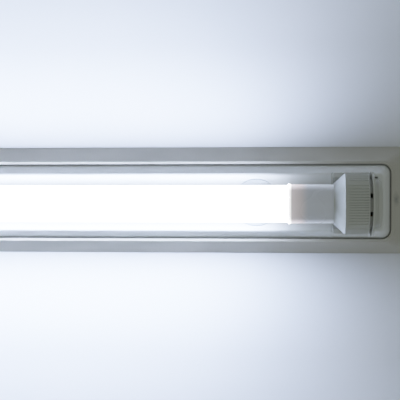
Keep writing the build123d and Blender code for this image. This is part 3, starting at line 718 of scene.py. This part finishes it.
@dataclass(frozen=True)
class Thread:
    """One right-handed ridge wound round the lamp axis, in metres."""

    root_radius: float
    crest_radius: float
    start: float                 # signed place along the lamp where the ridge begins
    length: float
    pitch: float = 3.0 * MM
    root_width: float = 1.3 * MM
    crest_width: float = 0.5 * MM
    steps_per_turn: int = 72
    run_out_steps: int = 9
    section_points: int = 4

    def model(self, name: str, height: float, finish: Finish) -> bpy.types.Object:
        """Wind the ridge: its small section is drawn once and the Screw modifier leads it round.

        Args:
            name: Name of the piece.
            height: Height of the lamp axis.
            finish: What it is made of.

        Returns:
            The new ridge, run out into its wall at both ends.
        """
        clear_selection()
        origin = (self.start, 0, height)
        bpy.ops.mesh.primitive_plane_add(size=1, location=origin)
        ridge = bpy.context.object
        ridge.name = ridge.data.name = name
        middle = (self.root_radius + self.crest_radius) / 2
        with editing(ridge):
            bpy.ops.mesh.select_all(action="SELECT")
            depth = abs(self.crest_radius - self.root_radius)
            bpy.ops.transform.resize(value=(self.root_width, depth, 1), center_override=origin)
            bpy.ops.transform.rotate(value=math.pi / 2, orient_axis="X", center_override=origin)
            bpy.ops.transform.translate(value=(0, 0, middle))
            bpy.ops.mesh.delete(type="ONLY_FACE")
        select_points(ridge, self.crest_points(ridge))
        with editing(ridge):
            bpy.ops.transform.resize(value=(self.crest_width / self.root_width, 1, 1),
                                     center_override=origin)
        turns = self.length / self.pitch
        screw = ridge.modifiers.new("wind", "SCREW")
        screw.axis = "X"
        screw.angle = TURN * turns
        screw.screw_offset = self.length
        screw.steps = screw.render_steps = round(self.steps_per_turn * turns)
        screw.use_merge_vertices = False
        bpy.ops.object.modifier_apply(modifier=screw.name)
        self.run_out(ridge, height)
        with editing(ridge):
            bpy.ops.mesh.select_all(action="SELECT")
            bpy.ops.mesh.fill_holes(sides=self.section_points)
        return settle(ridge, finish)

    def crest_points(self, ridge: bpy.types.Object) -> np.ndarray:
        """Which of the ridge's points lie on its crest, while its origin is on the lamp axis."""
        points = points_of(ridge)
        from_axis = np.hypot(points[:, 1], points[:, 2])
        return np.abs(from_axis - self.crest_radius) < np.abs(from_axis - self.root_radius)

    def run_out(self, ridge: bpy.types.Object, height: float) -> None:
        """Lower the crest into the root over the last steps at both ends.

        Args:
            ridge: The wound ridge, whose points stand in the order of its steps.
            height: Height of the lamp axis.
        """
        crest = self.crest_points(ridge)
        step_of = np.arange(len(crest)) // self.section_points
        rise = self.crest_radius - self.root_radius
        for step in range(self.run_out_steps):
            share = (step + 0.5) / self.run_out_steps
            scale = (self.root_radius + rise * share) / self.crest_radius
            select_points(ridge, crest & ((step_of == step) | (step_of == step_of.max() - step)))
            with editing(ridge):
                bpy.ops.transform.resize(value=(1, scale, scale), center_override=(0, 0, height))


@dataclass(frozen=True)
class LightStrip:
    """A long flat light on the tube, for what the tube throws that way."""

    name: str
    leaning: float               # degrees from straight out of the wall
    strength: float              # light that it sends out, on the scale of a material's emission
    span: float                  # degrees of the tube's round that it stands for
    inset: float = 0.0           # millimetres from the cap's mouth to the strip's end


@dataclass
class Studio:
    """Floor, lights, tone and the camera, which stands where the photograph was taken from."""

    aim_mm: tuple[float, float] = (180.0, 0.02)
    distance_mm: float = 864.2
    yaw: float = -4.994
    pitch: float = 2.317
    roll: float = 0.172
    focal_px: float = 1150.0
    frame_px: float = 400.0
    sensor_mm: float = 36.0
    clip: tuple[float, float] = (0.01, 20.0)
    floor_size: float = 6.0
    floor_drop: float = 0.0002
    room_light: str = "f8fff7"
    room_strength: float = 0.24
    soft_at: tuple[float, float, float] = (0.25, -0.4, 1.9)
    soft_size: float = 1.6
    soft_power: float = 0.68
    knee: float = 0.363                 # light up to here keeps its contrast
    film_white: float = 2.7             # light that is shown white
    film_steps: tuple[float, ...] = (0.12, 0.24, 0.45, 0.55, 0.65, 0.8, 1.0, 1.25, 1.55, 1.9, 2.3)
    lamp_light: str = "d1deff"
    strip_gap: float = 0.1 * MM         # from the tube's skin to its flat lights
    strips: tuple[LightStrip, ...] = (
        LightStrip("front", 0.0, 43.0, 35.0),
        LightStrip("slant_up", 35.0, 178.0, 35.0),
        LightStrip("slant_down", -35.0, 180.0, 35.0),
        LightStrip("side_up", 70.0, 91.0, 40.0),
        LightStrip("side_down", -70.0, 97.0, 40.0),
        LightStrip("edge_up", 95.0, 74.0, 20.0, inset=14.0),
        LightStrip("edge_down", -95.0, 101.0, 20.0, inset=14.0),
    )

    def add_floor(self) -> None:
        """Pale plane just under the fitting's back."""
        clear_selection()
        bpy.ops.mesh.primitive_plane_add(size=self.floor_size, location=(0, 0, -self.floor_drop))
        floor = bpy.context.object
        floor.name = "floor"
        floor.data.materials.append(FLOOR_PAINT.material())

    def add_light(self) -> None:
        """Even room light and one large soft light from above."""
        scene = bpy.context.scene
        scene.world = bpy.data.worlds.new("room")
        scene.world.use_nodes = True
        tree = scene.world.node_tree
        tree.nodes.clear()
        shade = add_node(tree, "ShaderNodeBackground",
                         {"Color": linear(self.room_light), "Strength": self.room_strength})
        add_node(tree, "ShaderNodeOutputWorld", {"Surface": shade.outputs["Background"]})
        clear_selection()
        bpy.ops.object.light_add(type="AREA", location=self.soft_at)
        lamp = bpy.context.object
        lamp.name = "soft_light"
        lamp.data.shape = "DISK"
        lamp.data.size = self.soft_size
        lamp.data.energy = self.soft_power
        lamp.data.color = linear(self.room_light)[:3]
        lamp.rotation_euler = (Vector((0, 0, 0)) - lamp.location).to_track_quat("-Z", "Y").to_euler()

    def add_lamp_light(self) -> None:
        """The tube's own light: it leaves forwards, where the chips face, and to both sides."""
        tube_low, tube_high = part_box("lamp_tube")
        middle, radius = (tube_low + tube_high) / 2, round_size("lamp_tube")[0]
        reach = min(abs(corner.x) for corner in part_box("lamp_cap_right"))
        for strip in self.strips:
            lean = math.radians(strip.leaning)
            facing = Vector((0, math.sin(lean), math.cos(lean)))
            across = facing.cross(Vector((1, 0, 0)))
            data = bpy.data.lights.new("lamp_light_" + strip.name, "AREA")
            data.shape = "RECTANGLE"
            data.size = 2 * (reach - strip.inset * MM)
            data.size_y = 2 * radius * math.tan(math.radians(strip.span / 2))
            data.energy = math.pi * data.size * data.size_y * strip.strength
            data.color = linear(self.lamp_light)[:3]
            light = bpy.data.objects.new(data.name, data)
            bpy.context.scene.collection.objects.link(light)
            centre = middle + facing * (radius + self.strip_gap)
            turned = Matrix((Vector((1, 0, 0)), -across, -facing)).transposed()
            light.matrix_world = Matrix.Translation(centre) @ turned.to_4x4()
            light.visible_camera = False

    def set_tone(self) -> None:
        """A photograph's tone: straight in the shadows, with a soft shoulder where the lamp lights."""
        view = bpy.context.scene.view_settings
        view.view_transform = "Standard"
        view.use_curve_mapping = True
        view.curve_mapping.white_level = (self.film_white,) * 3
        tone = view.curve_mapping.curves[3]
        for light in sorted((self.knee, *self.film_steps)):
            tone.points.new(light / self.film_white, self.shown(light))
        view.curve_mapping.update()

    def shown(self, light: float) -> float:
        """How bright a light is shown, with a straight foot, a soft shoulder and 1 for white."""
        room = 1 - self.knee
        bent = [value if value <= self.knee else 1 - room * math.exp((self.knee - value) / room)
                for value in (light, self.film_white)]
        return bent[0] / bent[1]

    def add_camera(self) -> None:
        """Camera at the photograph's place, angle and angle of view."""
        turned = (Matrix.Rotation(math.radians(self.roll), 3, "Z")
                  @ Matrix.Rotation(math.radians(self.pitch), 3, "X")
                  @ Matrix.Rotation(math.radians(self.yaw), 3, "Y")).transposed()
        aim = Vector((self.aim_mm[0], self.aim_mm[1], 0)) * MM
        data = bpy.data.cameras.new("camera")
        data.sensor_width = self.sensor_mm
        data.lens = self.focal_px / self.frame_px * data.sensor_width
        data.clip_start, data.clip_end = self.clip
        camera = bpy.data.objects.new("camera", data)
        bpy.context.scene.collection.objects.link(camera)
        place = aim + turned @ Vector((0, 0, self.distance_mm * MM))
        camera.matrix_world = Matrix.Translation(place) @ turned.to_4x4()
        bpy.context.scene.camera = camera


def dress(node: str, finish: Finish) -> None:
    """Give a node of the frame its finish.

    Args:
        node: Name of the node.
        finish: What it is made of.
    """
    mesh = frame["nodes"][node].data
    mesh.materials.clear()
    mesh.materials.append(finish.material())
    LOG.info("%s: dressed in %s", node, finish.name)


@dataclass
class Housing:
    """Base, tray and the pieces fixed inside them."""

    edge_mm: float = 0.35
    head_edge_mm: float = 0.2
    finishes: dict[str, Finish] = field(default_factory=lambda: {
        # the seal's pale colour is partly painted glare in its groove
        "cover_seal": SEAL_RUBBER_PAINTED_GLARE,
        "cable_grommet": BLACK_RUBBER,
        "terminal_block": TERMINAL_PLASTIC,
        "terminal_screws": PLATED_STEEL,
        "supply_leads": LEAD_PLASTIC,
    })

    def build(self) -> None:
        """Round the edges of the base, the tray and its fasteners, and dress what they carry."""
        put_in(softened("base_housing", BASE_PLASTIC, self.edge_mm), "base_housing")
        put_in(softened("gear_tray", TRAY_PLASTIC, self.edge_mm), "gear_tray")
        for end in End:
            node = "tray_fastener_" + end.suffix
            put_in(softened(node, FASTENER_PLASTIC, self.head_edge_mm), node)
        for node, finish in self.finishes.items():
            dress(node, finish)


@dataclass
class Lampholder:
    """One lampholder: fixed body and back, contacts, screws and the turning rotor."""

    end: End
    edge_mm: float = 0.5
    neck_radius: float = 17.2 * MM
    thread_height: float = 0.75 * MM
    thread_length: float = 11.0 * MM
    thread_inset: float = 1.5 * MM       # from the nut's rear to the thread's end

    def build(self) -> None:
        """Round the edges of the body and the back, wind the neck's thread and dress the rest."""
        side = self.end.suffix
        for node in ("holder_body_" + side, "holder_back_" + side):
            put_in(softened(node, HOLDER_PLASTIC, self.edge_mm), node)
        thread = self.thread()
        ridge = thread.model("neck_thread_" + side, self.axis_height(), HOLDER_PLASTIC)
        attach(ridge, "housing")
        dress("contacts_" + side, BRONZE)
        dress("holder_screws_" + side, PLATED_STEEL)
        dress("rotor_" + side, ROTOR_PLASTIC)

    def axis_height(self) -> float:
        """Height of the lamp axis, in the middle of the rotor."""
        return round_size("rotor_" + self.end.suffix)[1]

    def thread(self) -> Thread:
        """The neck's thread, which ends just inside the nut's rear."""
        low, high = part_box("ring_nut_" + self.end.suffix)
        outer = self.end.value * max(abs(low.x), abs(high.x)) - self.end.value * self.thread_inset
        inner = outer - self.end.value * self.thread_length
        return Thread(self.neck_radius, self.neck_radius + self.thread_height, min(inner, outer),
                      self.thread_length)


@dataclass
class RingNut:
    """Ribbed ring nut with a hollow cone nose, and the slip ring and gasket that it pushes."""

    end: End
    segments: int = 720
    bore: float = 18.3 * MM
    thread_height: float = 0.75 * MM
    wall: float = 2.0 * MM
    nose_length: float = 7.7 * MM
    nose_land: float = 0.4 * MM
    nose_radius: float = 13.8 * MM
    nose_rounding: float = 0.15 * MM
    cone_rounding: float = 0.35 * MM     # where the cone meets the barrel
    rear_rounding: float = 0.45 * MM
    bore_rounding: float = 0.2 * MM
    rib_start: float = 0.8 * MM
    rib_length: float = 14.9 * MM
    rib_fade: float = 3.1 * MM
    rib_run_out: float = 0.5 * MM
    rib_pitch: float = 1.67 * MM
    rib_spread: float = 0.027 * MM
    ribs_each_way: int = 7
    zones: int = 4
    groove_depth: float = 0.8 * MM
    groove_shape: tuple[float, ...] = (1.0, 0.8, 0.25)     # shares of the depth, from its middle out
    barrel_reach: float = 0.1 * MM       # how near the barrel's radius a point of the barrel lies

    def build(self) -> None:
        """Model the nut round the frame's nut and dress what it pushes."""
        side = self.end.suffix
        nut = self.model_nut(f"ring_nut_{side}_ribbed")
        put_in(nut, "ring_nut_" + side)
        holder = Lampholder(self.end)
        neck = holder.thread()
        half = neck.pitch / 2
        thread = Thread(self.bore, self.bore - self.thread_height, neck.start + half,
                        neck.length - half)
        ridge = thread.model("ring_nut_thread_" + side, holder.axis_height(), NUT_PLASTIC)
        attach(ridge, "ring_nut_" + side)
        dress("slip_ring_" + side, HOLDER_PLASTIC)
        dress("lamp_gasket_" + side, SILICONE)
        LOG.info("%s: ribbed ring nut, %d points", nut.name, len(nut.data.vertices))

    def model_nut(self, name: str) -> bpy.types.Object:
        """Turn the nut's section and press the grip grooves into its barrel.

        Args:
            name: Name of the piece.

        Returns:
            The finished nut.
        """
        node = "ring_nut_" + self.end.suffix
        low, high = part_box(node)
        radius, height = round_size(node)
        sign = self.end.value
        nose = low.x if sign > 0 else -high.x
        rear = high.x if sign > 0 else -low.x
        edge = nose + self.nose_length
        slope = (radius - self.nose_radius - self.nose_land) / self.nose_length
        wall = self.wall * math.hypot(1, slope)
        inner_start = self.nose_radius + self.nose_land - wall
        bore_x = nose + (self.bore - inner_start) / slope
        throat_x = nose + (self.nose_radius - inner_start) / slope
        start = edge + self.rib_start
        stop = start + self.rib_length
        corners = [
            Corner(nose, self.nose_radius, self.nose_rounding),
            Corner(nose, self.nose_radius + self.nose_land, self.nose_rounding),
            Corner(edge, radius, self.cone_rounding),
            Corner(start, radius), Corner(start + self.rib_fade, radius),
            Corner(stop - self.rib_run_out, radius), Corner(stop, radius),
            Corner(rear, radius, self.rear_rounding), Corner(rear, self.bore, self.bore_rounding),
            Corner(bore_x, self.bore), Corner(throat_x, self.nose_radius),
        ]
        outline = [(sign * x, r) for x, r in rounded_outline(corners)]
        nut = turn(name, outline, height, self.segments)
        self.press_grooves(nut, start, stop, radius)
        return settle(nut, NUT_PLASTIC)

    def groove_steps(self) -> list[int]:
        """Places of all grooves round the nut, in steps of the ring's points from the top."""
        radius = round_size("ring_nut_" + self.end.suffix)[0]
        step = TURN / self.segments
        places = []
        for zone in range(self.zones):
            middle = zone * self.segments // self.zones
            for number in range(-self.ribs_each_way, self.ribs_each_way + 1):
                offset = self.rib_pitch * abs(number) + self.rib_spread * number ** 2
                angle = math.copysign(math.asin(offset / radius), number)
                places.append((middle + round(angle / step)) % self.segments)
        return places

    def press_grooves(self, nut: bpy.types.Object, start: float, stop: float, radius: float) -> None:
        """Pull the points of each groove towards the axis, deepest in its middle.

        Args:
            nut: The turned nut, still with its place in the object.
            start: Where the grooves begin, as a distance from the fitting's middle.
            stop: Where they end.
            radius: Radius of the barrel.
        """
        placed = nut.matrix_world
        world = points_of(nut) @ np.array(placed.to_3x3()).T + np.array(placed.translation)
        height = placed.translation.z
        reach = np.abs(world[:, 0])
        from_axis = np.hypot(world[:, 1], world[:, 2] - height)
        steps = np.round(np.arctan2(world[:, 1], world[:, 2] - height) / TURN * self.segments)
        steps = steps.astype(int) % self.segments
        on_barrel = (reach > start + self.rib_fade / 2) & (reach < stop - self.rib_run_out / 2)
        on_barrel &= from_axis > radius - self.barrel_reach
        places = self.groove_steps()
        for away, share in enumerate(self.groove_shape):
            wanted = {(place + side * away) % self.segments for place in places for side in (-1, 1)}
            chosen = on_barrel & np.isin(steps, sorted(wanted))
            select_points(nut, chosen)
            scale = 1 - self.groove_depth * share / radius
            with editing(nut):
                bpy.ops.transform.resize(value=(1, scale, scale), center_override=(0, 0, height))


@dataclass
class Lamp:
    """The tube lamp: lit opal tube, two caps, and the boards and pins inside and on them."""

    segments: int = 192
    tube_wall: float = 0.8 * MM
    tube_rounding: float = 0.3 * MM
    cap_radius: float = 13.45 * MM
    cap_wall: float = 1.3 * MM
    cap_end_wall: float = 2.0 * MM
    cap_edge: float = 0.8 * MM
    lip_length: float = 1.4 * MM
    lip_rounding: float = 0.35 * MM      # at the mouth
    step_rounding: float = 0.3 * MM      # where the lip steps down to the cap
    fine_rounding: float = 0.1 * MM
    tube_gap: float = 0.05 * MM
    tube_in_cap: float = 10.8 * MM
    inner_finishes: dict[str, Finish] = field(default_factory=lambda: {
        "led_board": WHITE_BOARD,
        "led_chips": PHOSPHOR,
        "driver_board": GREEN_BOARD,
        "driver_parts": COMPONENT_PLASTIC,
        "lamp_pins_left": PIN_BRASS,
        "lamp_pins_right": PIN_BRASS,
    })

    def build(self) -> None:
        """Model the tube and the caps, and dress the rest."""
        tube = put_in(self.model_tube(), "lamp_tube")
        for end in End:
            put_in(self.model_cap(end), "lamp_cap_" + end.suffix)
        for node, finish in self.inner_finishes.items():
            dress(node, finish)
        LOG.info("%s: lit tube, %d points", tube.name, len(tube.data.vertices))

    def model_tube(self) -> bpy.types.Object:
        """Turn the opal tube and give its inner wall the finish without light.

        Returns:
            The finished tube.
        """
        low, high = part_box("lamp_tube")
        radius, height = round_size("lamp_tube")
        inner = radius - self.tube_wall
        edge = self.tube_rounding
        corners = [Corner(low.x, inner, edge), Corner(low.x, radius, edge),
                   Corner(high.x, radius, edge), Corner(high.x, inner, edge)]
        tube = turn("lamp_tube_opal", rounded_outline(corners), height, self.segments)
        settle(tube, OPAL)
        tube.data.materials.append(OPAL_INSIDE.material())
        halfway = (radius + inner) / 2
        for face in tube.data.polygons:
            if math.hypot(face.center.y, face.center.z - height) < halfway:
                face.material_index = 1
        return tube

    def model_cap(self, end: End) -> bpy.types.Object:
        """Turn one cap: a deep cup with a lip at its mouth, drawn from its inner end to its outer one.

        Args:
            end: The end of the fitting that the cap is at.

        Returns:
            The finished cap.
        """
        node = "lamp_cap_" + end.suffix
        low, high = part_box(node)
        lip, height = round_size(node)
        mouth, face = sorted((abs(low.x), abs(high.x)))
        tube_end = mouth + self.tube_in_cap
        bore = self.cap_radius - self.cap_wall
        mouth_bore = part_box("lamp_tube")[1].z - height + self.tube_gap
        inner_wall = face - self.cap_end_wall
        corners = [
            Corner(inner_wall, bore), Corner(tube_end, bore), Corner(tube_end, mouth_bore),
            Corner(mouth, mouth_bore, self.fine_rounding), Corner(mouth, lip, self.lip_rounding),
            Corner(mouth + self.lip_length, lip, self.step_rounding),
            Corner(mouth + self.lip_length, self.cap_radius, self.fine_rounding),
            Corner(face, self.cap_radius, self.cap_edge),
            Corner(face, self.cap_radius - 2 * self.cap_edge),
        ]
        outline = [(end.value * x, r) for x, r in rounded_outline(corners)]
        cap = turn(f"{node}_turned", outline, height, self.segments, ring_shaped=False)
        return settle(cap, CAP_PLASTIC_PAINTED_GLOW)


def main() -> None:
    """Build the stage and each sub-assembly in order."""
    logging.basicConfig(level=logging.INFO, format="%(name)s: %(message)s")
    studio = Studio()
    studio.add_floor()
    studio.add_light()
    studio.add_lamp_light()
    studio.set_tone()
    studio.add_camera()
    Housing().build()
    for end in End:
        Lampholder(end).build()
        RingNut(end).build()
    Lamp().build()


if __name__ == "__main__":
    main()
